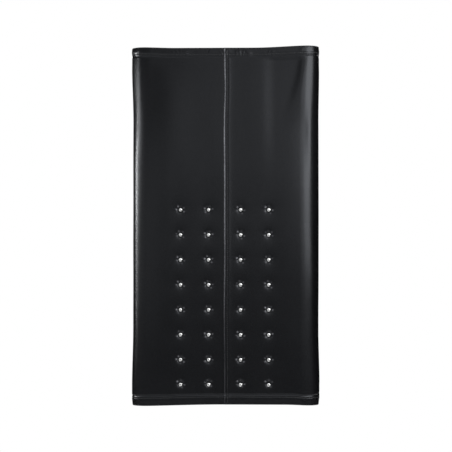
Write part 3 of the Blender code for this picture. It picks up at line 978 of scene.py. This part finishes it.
def stitch_line(name, stitch, points, normals):
    """Copies of a stitch along a line of points, joined as one piece of sewing."""
    points, normals = np.asarray(points), np.asarray(normals)
    steps = np.linalg.norm(np.diff(points, axis=0), axis=1)
    along = np.concatenate([[0], np.cumsum(steps)])
    count = int(along[-1] / STITCH_PITCH)
    places = (np.arange(count) + 0.5) * along[-1] / count

    def at(table, where):
        return np.stack([np.interp(where, along, table[:, i]) for i in range(3)], axis=1)

    reach = STITCH_PITCH / 3
    centre, ahead, normal = at(points, places), at(points, places + reach), at(normals, places)
    tangent = ahead - at(points, places - reach)
    tangent /= np.linalg.norm(tangent, axis=1)[:, None]
    across = np.cross(normal, tangent)
    across /= np.linalg.norm(across, axis=1)[:, None]
    normal = np.cross(tangent, across)
    shape = np.array([v.co[:] for v in stitch.data.vertices])
    tilt = RANDOM.uniform(-0.10, 0.10, count)
    tangent = tangent + across * tilt[:, None]
    verts = (
        centre[:, None, :]
        + shape[None, :, 0:1] * tangent[:, None, :]
        + shape[None, :, 1:2] * across[:, None, :]
        + shape[None, :, 2:3] * normal[:, None, :]
    ).reshape(-1, 3)
    faces = [tuple(p.vertices) for p in stitch.data.polygons]
    faces = [tuple(i + k * len(shape) for i in face) for k in range(count) for face in faces]
    line = joined(name, verts.tolist(), faces)
    smooth(line)
    return dress(line, THREAD, "webbing")


def skin_line(side, distances, heights):
    """Points and outward normals on a panel along these distances and heights."""
    stations = stations_at(distances)
    points, normals = [], []
    for station, z in zip(stations, heights):
        point = skin(side, station[None, :], [(z, 0.0)])[0, 0]
        points.append(point)
        normals.append((station[3] * side, -station[4], 0.0))
    return points, normals


def make_sewing():
    stitch = make_stitch(STITCH_LENGTH, STITCH_THICK)
    heights = np.linspace(-HALF_HEIGHT + 0.003, HALF_HEIGHT - 0.003, 260)
    points, normals = skin_line(1, np.full(len(heights), SEAM_STITCH), heights)
    stitch_line("centre_seam_stitches", stitch, points, normals)
    for end, place in ((1, "top"), (-1, "bottom")):
        line_points, line_normals = [], []
        for side in (-1, 1):
            distances = np.linspace(0.0, SIDE_END - 0.002, 170)
            if side < 0:
                distances = distances[::-1]
            z = end * (HALF_HEIGHT - HEM_ROW[end])
            points, normals = skin_line(side, distances, np.full(len(distances), z))
            line_points += points
            line_normals += normals
        stitch_line(f"{place}_hem_stitches", stitch, line_points, line_normals)
    discard(stitch)


# ---------------------------------------------------------------- rivets


def make_turned(name, profile, segments):
    """A closed round piece about Y, built up ring by ring from (radius, depth) steps."""
    start()
    first_r, first_d = profile[0]
    bpy.ops.mesh.primitive_circle_add(
        vertices=segments,
        radius=first_r,
        fill_type="NGON",
        location=(0, -first_d, 0),
        rotation=(math.pi / 2, 0, 0),
    )
    piece = rest_at_origin(named(name))
    bpy.ops.object.mode_set(mode="EDIT")
    bpy.ops.mesh.select_all(action="SELECT")
    for (r0, d0), (r1, d1) in zip(profile, profile[1:]):
        bpy.ops.mesh.extrude_region_move(TRANSFORM_OT_translate={"value": (0, -(d1 - d0), 0)})
        bpy.ops.transform.resize(value=(r1 / r0, 1, r1 / r0), center_override=(0, -d1, 0))
    bpy.ops.mesh.select_all(action="SELECT")
    bpy.ops.mesh.normals_make_consistent(inside=False)
    bpy.ops.object.mode_set(mode="OBJECT")
    return piece


def make_rivets():
    """Set double-cap rivets: clinched cap, post, and a domed cap with a rolled rim."""
    clinch = -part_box(RIVET_NODES[0])[1][1]
    rim = [
        (CAP_R - 0.0005, SEAT_DEPTH + 0.00002),
        (CAP_R - 0.0001, SEAT_DEPTH + 0.0001),
        (CAP_R, SEAT_DEPTH + 0.0004),
        (CAP_R - 0.00006, SEAT_DEPTH + 0.0006),
    ]
    dome = [
        (0.965 * CAP_R * math.cos(a), SEAT_DEPTH + 0.0006 + (CAP_DOME - 0.0006) * math.sin(a))
        for a in np.linspace(0.12, 1.45, 9)
    ]
    profile = [
        (0.0026, clinch),
        (0.0036, clinch + 0.0003),
        (0.0040, clinch + 0.0010),
        (0.0039, clinch + 0.0014),
        (0.0015, clinch + 0.0015),
        (0.0015, SEAT_DEPTH),
        *rim,
        *dome,
        (0.0002, RIVET_TOP),
    ]
    model = make_turned("rivet_model", profile, 36)
    smooth(model, 50)
    for name, (x, z) in RIVETS.items():
        cap = copied(model, name.replace("rivet", "domed_rivet"), Matrix.Translation((x, 0, z)))
        dress(cap, NICKEL, "nickel", name)
    discard(model)


# ---------------------------------------------------------------- ends


# (width, rise) of the rings of an end panel, inwards: a piped edge, a stitched groove inside
# it, and then the crowned middle
END_RINGS = (
    (0.0008, 0.0010),
    (0.0014, 0.0007),
    (0.0020, -0.0004),
    (0.0016, -0.0006),
    (0.0016, 0.0007),
    (0.0040, 0.0012),
    (0.0060, 0.0010),
    (0.0070, 0.0008),
    (0.0080, 0.0005),
)


def make_end_panel(name, end, node_name):
    """A vinyl panel set back inside the hem, crowned over the end of the foam."""
    low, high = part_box(node_name)
    inset = HEM_THICK + 0.0004
    width = 2 * (HALF_WIDTH - inset)
    front, back = -(DEPTH - inset), high[1] - 0.0004
    level = high[2] if end > 0 else low[2]
    start()
    bpy.ops.mesh.primitive_plane_add(size=1, location=(0, (front + back) / 2, level))
    panel = named(name)
    panel.scale = (width, back - front, 1)
    rest_at_origin(panel)
    choose(panel, "VERT", lambda vertex: vertex.co.y < (front + back) / 2)
    bpy.ops.mesh.bevel(offset=EDGE_RADIUS - inset, segments=14, affect="VERTICES")
    bpy.ops.mesh.select_mode(type="FACE")
    bpy.ops.mesh.select_all(action="SELECT")
    if end < 0:
        bpy.ops.mesh.flip_normals()
    for thickness, rise in END_RINGS:
        bpy.ops.mesh.inset(thickness=thickness, depth=0)
        bpy.ops.transform.translate(value=(0, 0, end * rise))
    bpy.ops.object.mode_set(mode="OBJECT")
    thickened(panel, 0.0012)
    smooth(panel, 60)
    return dress(panel, INNER_VINYL, "vinyl", node_name)


# ---------------------------------------------------------------- back

WINDOWS = [
    (middle(name)[0], middle(name)[2], 0.0150, 0.0360)  # half width and half height
    for name in HANGER_NODES
]
CLOTH_X, CLOTH_Z = 0.175, 0.3419
CLOTH_TURN = 0.012  # edge folded under


def staple_places():
    """Staples (x, z, turned upright) round the border of the dust cover."""
    x, z = CLOTH_X - 0.0065, CLOTH_Z - 0.0065
    heights, acrosses = np.linspace(-z + 0.02, z - 0.02, 16), np.linspace(-x + 0.02, x - 0.02, 9)
    places = [(side * x, height, True) for side in (-1, 1) for height in heights]
    places += [(across, end * z, False) for end in (-1, 1) for across in acrosses]
    return [
        (a + RANDOM.normal(0, 0.0008), b + RANDOM.normal(0, 0.0012), upright)
        for a, b, upright in places
    ]


def make_dust_cover(staples):
    """Black cloth over the middle of the back, its edge turned under and stapled down."""
    def with_edges(half, step, edges):
        """Even steps from side to side, with the edges of the windows put in."""
        even = np.linspace(-half, half, int(round(2 * half / step)) + 1)
        clear = [min(abs(value - edge) for edge in edges) > step * 0.4 for value in even]
        kept = [value for value, free in zip(even, clear) if free or abs(value) == half]
        return np.array(sorted({round(float(v), 6) for v in [*kept, *edges]}))

    xs = with_edges(CLOTH_X, 0.0040, [x + end * w for x, _, w, _ in WINDOWS for end in (-1, 1)])
    zs = with_edges(CLOTH_Z, 0.0045, [z + end * h for _, z, _, h in WINDOWS for end in (-1, 1)])
    x, z = np.meshgrid(xs, zs)
    from_edge = np.minimum(CLOTH_X - abs(x), CLOTH_Z - abs(z))
    folded = 1 - ease(from_edge, CLOTH_TURN - 0.001, CLOTH_TURN + 0.002)
    depth = 0.0008 - 0.0004 * folded + 0.0003 * (1 - ease(abs(x), 0.150, 0.158))
    slack = Ripple((0.083, 0.131, 0.217))
    depth = depth + 0.00012 * slack(x + 0.6 * z) * (1 - folded)
    for staple_x, staple_z, upright in staples:
        dx, dz = x - staple_x, z - staple_z
        reach = np.hypot(dx / 0.005, dz / 0.009) if upright else np.hypot(dx / 0.009, dz / 0.005)
        depth = depth + 0.00035 * np.exp(-(reach**2))
    points = np.stack([x, -depth, z], axis=2)
    cloth = sheet_of("dust_cover_cloth", points, flip=True)
    def in_window(row, column):
        at_x, at_z = (xs[column] + xs[column + 1]) / 2, (zs[row] + zs[row + 1]) / 2
        return any(abs(at_x - wx) < w and abs(at_z - wz) < h for wx, wz, w, h in WINDOWS)

    cut_cells(cloth, len(xs), in_window)
    thickened(cloth, CLOTH_THICK)
    smooth(cloth, 60)
    dress(cloth, DUST_CLOTH, "dust_cloth", "dust_cover")
    return cloth


STAPLE_LENGTH, WIRE_R = 0.010, 0.00035


def make_staples(staples):
    """Wire staples, one modelled and copied along the border."""
    start()
    bpy.ops.mesh.primitive_cylinder_add(
        vertices=8,
        radius=WIRE_R,
        depth=STAPLE_LENGTH,
        rotation=(0, math.pi / 2, 0),
        end_fill_type="NGON",
    )
    wire = rest_at_origin(named("staple"))
    for end in (-1, 1):
        choose(wire, "FACE", lambda face: face.normal.x * end > 0.9)
        for step in range(3):
            bpy.ops.mesh.extrude_region_move(
                TRANSFORM_OT_translate={"value": (end * 0.00018, -0.00016 - 0.0001 * step, 0)}
            )
    bpy.ops.object.mode_set(mode="OBJECT")
    verts, faces = [], []
    shape = [v.co.copy() for v in wire.data.vertices]
    for x, z, upright in staples:
        turn = (math.pi / 2 if upright else 0.0) + RANDOM.normal(0, 0.06)
        place = Matrix.Translation((x, -0.00042, z)) @ Matrix.Rotation(turn, 4, "Y")
        base = len(verts)
        verts += [place @ co for co in shape]
        faces += [tuple(base + i for i in p.vertices) for p in wire.data.polygons]
    line = joined("dust_cover_staples", verts, faces)
    smooth(line, 40)
    discard(wire)
    return dress(line, STAPLE, "zinc_steel")


def drilled(piece, cutter):
    modifier = piece.modifiers.new("cut", "BOOLEAN")
    modifier.operation = "DIFFERENCE"
    modifier.solver = "EXACT"
    modifier.object = cutter
    apply_modifiers(piece)
    discard(cutter)


def block(name, low, high):
    start()
    bpy.ops.mesh.primitive_cube_add(size=1, location=[(a + b) / 2 for a, b in zip(low, high)])
    piece = named(name)
    piece.scale = [b - a for a, b in zip(low, high)]
    return rest_at_origin(piece)


def rod(name, x, z, radius, y0, y1, other_radius=None, sides=32):
    """A round cutter along Y, from radius at y0 to other_radius at y1."""
    start()
    bpy.ops.mesh.primitive_cone_add(
        vertices=sides,
        radius1=radius,
        radius2=radius if other_radius is None else other_radius,
        depth=abs(y1 - y0),
        location=(x, (y0 + y1) / 2, z),
        rotation=(-math.pi / 2 if y1 > y0 else math.pi / 2, 0, 0),
    )
    return rest_at_origin(named(name))


def make_hangers():
    """Stamped keyhole plates: rounded corners, a slot above the round hole, countersinks."""
    low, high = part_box(HANGER_NODES[0])
    half_x, half_z = (high[0] - low[0]) / 2, (high[2] - low[2]) / 2
    y0, y1 = low[1], high[1]
    plate = block("plate_model", (-half_x, y0, -half_z), (half_x, y1, half_z))
    choose(plate, "EDGE", lambda edge: abs(edge.verts[0].co.y - edge.verts[1].co.y) > 1e-5)
    bpy.ops.mesh.bevel(offset=0.003, segments=6)
    bpy.ops.object.mode_set(mode="OBJECT")
    hole_z, hole_r, slot_r, screw_r = -0.0050, 0.0060, 0.0030, 0.0017
    slot_z = 0.0090 - slot_r
    through = (y0 - 0.001, y1 + 0.001)
    drilled(plate, rod("hole", 0, hole_z, hole_r, *through))
    drilled(plate, rod("slot_end", 0, slot_z, slot_r, *through))
    drilled(plate, block("slot", (-slot_r, through[0], hole_z), (slot_r, through[1], slot_z)))
    for end in (-1, 1):
        drilled(plate, rod("screw_hole", 0, end * 0.025, screw_r, *through))
        drilled(plate, rod("sink", 0, end * 0.025, screw_r, y0 + 0.0004, y1 + 0.0004, 0.0040))
    rounded = plate.modifiers.new("edges", "BEVEL")
    rounded.width = 0.00025
    rounded.segments = 2
    rounded.limit_method = "ANGLE"
    apply_modifiers(plate)
    smooth(plate, 20)
    for name in HANGER_NODES:
        x, _, z = middle(name)
        twin = copied(plate, name.replace("hanger", "keyhole_plate"), Matrix.Translation((x, 0, z)))
        dress(twin, ZINC, "zinc_steel", name)
    discard(plate)


def make_screws():
    """Countersunk screws with a cross recess and a threaded shank."""
    low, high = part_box(SCREW_NODES[0])
    y1, length = high[1], high[1] - low[1]
    profile = [(0.0002, length), (0.0009, length - 0.0010), (0.00115, length - 0.0022)]
    for turn in np.arange(length - 0.0024, 0.0030, -0.0009):
        profile += [(0.0015, turn), (0.00115, turn - 0.00045)]
    head = [(0.0013, 0.0022), (0.0032, 0.0004), (0.0034, 0.0002), (0.0033, 0.00005), (0.0030, 0.0)]
    profile += head
    screw = make_turned("screw_model", [(r, -y1 + d) for r, d in profile], 24)
    for turned in (0, 1):
        across, along = (0.00210, 0.00042) if turned else (0.00042, 0.00210)
        cutter = block("cross", (-across, y1 - 0.0016, -along), (across, y1 + 0.001, along))
        for vertex in cutter.data.vertices:
            if vertex.co.y < y1 - 0.001:
                vertex.co.x *= 0.35 if turned else 0.8
                vertex.co.z *= 0.8 if turned else 0.35
        drilled(screw, cutter)
    smooth(screw, 40)
    for name in SCREW_NODES:
        x, _, z = middle(name)
        place = Matrix.Translation((x, 0, z)) @ Matrix.Rotation(RANDOM.uniform(0, math.pi), 4, "Y")
        dress(copied(screw, name.replace("screw", "cross_screw"), place), ZINC, "zinc_steel", name)
    discard(screw)


def dress_inside():
    """Materials of the CAD pieces that stay as they are."""
    finishes = {
        "back_board": PLYWOOD,
        "foam_base": BASE_FOAM,
        "foam_core": CORE_FOAM,
        "foam_face": FACE_FOAM,
        "impact_sheet": RUBBER,
        "centre_seam_tape": WEBBING,
    }
    for name, material in finishes.items():
        for place in bpy.data.objects[name].material_slots:
            place.link = "OBJECT"
            place.material = material


# ---------------------------------------------------------------- making it

make_panel("sleeve_left", -1, "cover_left")
make_panel("sleeve_right", 1, "cover_right")
make_wadding()
make_hem_webbing("hem_webbing_top", 1, "top_hem_webbing")
make_hem_webbing("hem_webbing_bottom", -1, "bottom_hem_webbing")
make_end_panel("end_panel_top", 1, "top_end_panel")
make_end_panel("end_panel_bottom", -1, "bottom_end_panel")
make_sewing()
make_rivets()
STAPLES = staple_places()
make_dust_cover(STAPLES)
make_staples(STAPLES)
make_hangers()
make_screws()
dress_inside()


# ---------------------------------------------------------------- camera and light

scene = bpy.context.scene
scene.view_settings.view_transform = "Standard"


def place_camera():
    distance, turn = 5.0, math.radians(2.7)
    data = bpy.data.cameras.new("camera")
    data.lens = 185.2
    data.sensor_width = 36.0
    data.shift_x = 0.0007
    camera = bpy.data.objects.new("camera", data)
    scene.collection.objects.link(camera)
    target = Vector((0, -DEPTH / 2, 0))
    camera.location = target + distance * Vector((math.sin(turn), -math.cos(turn), 0))
    camera.rotation_euler = (target - camera.location).to_track_quat("-Z", "Y").to_euler()
    scene.camera = camera


def softbox(name, place, size, strength, target=(0, -0.10, 0)):
    data = bpy.data.lights.new(name, "AREA")
    data.shape = "RECTANGLE"
    data.size, data.size_y = size
    # strength is the brightness of the face of the light
    data.energy = strength * size[0] * size[1] * math.pi
    light = bpy.data.objects.new(name, data)
    scene.collection.objects.link(light)
    light.location = place
    light.rotation_euler = (Vector(target) - Vector(place)).to_track_quat("-Z", "Y").to_euler()
    light.visible_camera = False


def make_world():
    """A dim tent in front, black to the sides and bright above and below. The camera itself
    sees plain white."""
    world = bpy.data.worlds.new("tent")
    scene.world = world
    world.use_nodes = True
    tree = world.node_tree
    tree.nodes.clear()
    direction = tree.nodes.new("ShaderNodeTexCoord").outputs["Generated"]
    x, y, z = node(tree, "ShaderNodeSeparateXYZ", {"Vector": direction}).outputs
    turn = maths(tree, "ABSOLUTE", maths(tree, "ARCTAN2", x, times(tree, y, -1.0)))
    round_about = spread(tree, z, -0.14, -0.03, 0.19, 0.32)
    front = times(tree, round_about, spread(tree, turn, 1.2, 1.8, 1.0, 0.0))
    below = spread(tree, z, -0.50, -0.30, 0.95, 0.0)
    above = spread(tree, z, 0.40, 0.75, 0.0, 0.95)
    level = maths(tree, "ADD", maths(tree, "ADD", front, below), above)
    seen = node(tree, "ShaderNodeLightPath").outputs["Is Camera Ray"]
    tint = mixed(tree, seen, (0.97, 0.98, 1.0), (1.0, 1.0, 1.0))
    strength = spread(tree, seen, 0.0, 1.0, level, 1.0)
    background = node(tree, "ShaderNodeBackground", {"Color": tint, "Strength": strength})
    output = tree.nodes.new("ShaderNodeOutputWorld")
    tree.links.new(background.outputs[0], output.inputs["Surface"])


def make_floor():
    start()
    bpy.ops.mesh.primitive_circle_add(
        vertices=96, radius=1.8, fill_type="NGON", location=(0, 0, -0.9)
    )
    floor = rest_at_origin(named("studio_floor"))
    material, tree, shader = new_material("pale_floor", Roughness=0.7)
    patches = noise(tree, place_of(tree), 3.0, 3.0)
    feed(shader, Base_Color=mixed(tree, patches, (0.78, 0.78, 0.77), (0.84, 0.84, 0.83)))
    floor.data.materials.append(material)


place_camera()
make_world()
make_floor()
softbox("front_panel", (0.30, -1.30, 0.44), (1.00, 0.92), 0.78, (0.30, 0.0, 0.44))
softbox("right_core", (1.06, -0.57, 0.36), (0.74, 0.80), 3.5, (0.18, -0.09, 0.36))
softbox("right_wide", (1.10, -0.80, 0.38), (1.60, 0.86), 2.0, (0.18, -0.09, 0.38))
for low, high, rim, tail, forward in (
    (-0.22, 0.02, 13.0, 2.0, 0.0),
    (0.02, 0.27, 60.0, 7.0, 0.0),
    (0.27, 0.37, 6.0, 14.0, 0.24),
):
    level = (low + high) / 2
    for label, x, y, wide, strength in (
        ("rim", -1.27, 0.34, 0.07, rim),
        ("tail", -1.34, 0.16, 0.24, tail),
        ("wide", -1.34, -0.18, 0.40, 0.25 * tail),
    ):
        place, size = (x, y - forward, level), (wide, high - low)
        softbox(f"left_{label}_{level:.2f}", place, size, strength, (-0.19, -0.09, level))
softbox("left_fill", (-1.05, -0.80, 0.03), (0.90, 0.52), 0.45, (-0.17, -0.09, 0.03))
softbox("front_left", (-0.52, -1.20, 0.02), (0.50, 0.50), 0.52, (-0.10, 0, 0.02))
softbox("behind", (0.8, 2.6, 1.7), (1.6, 1.6), 2.0)
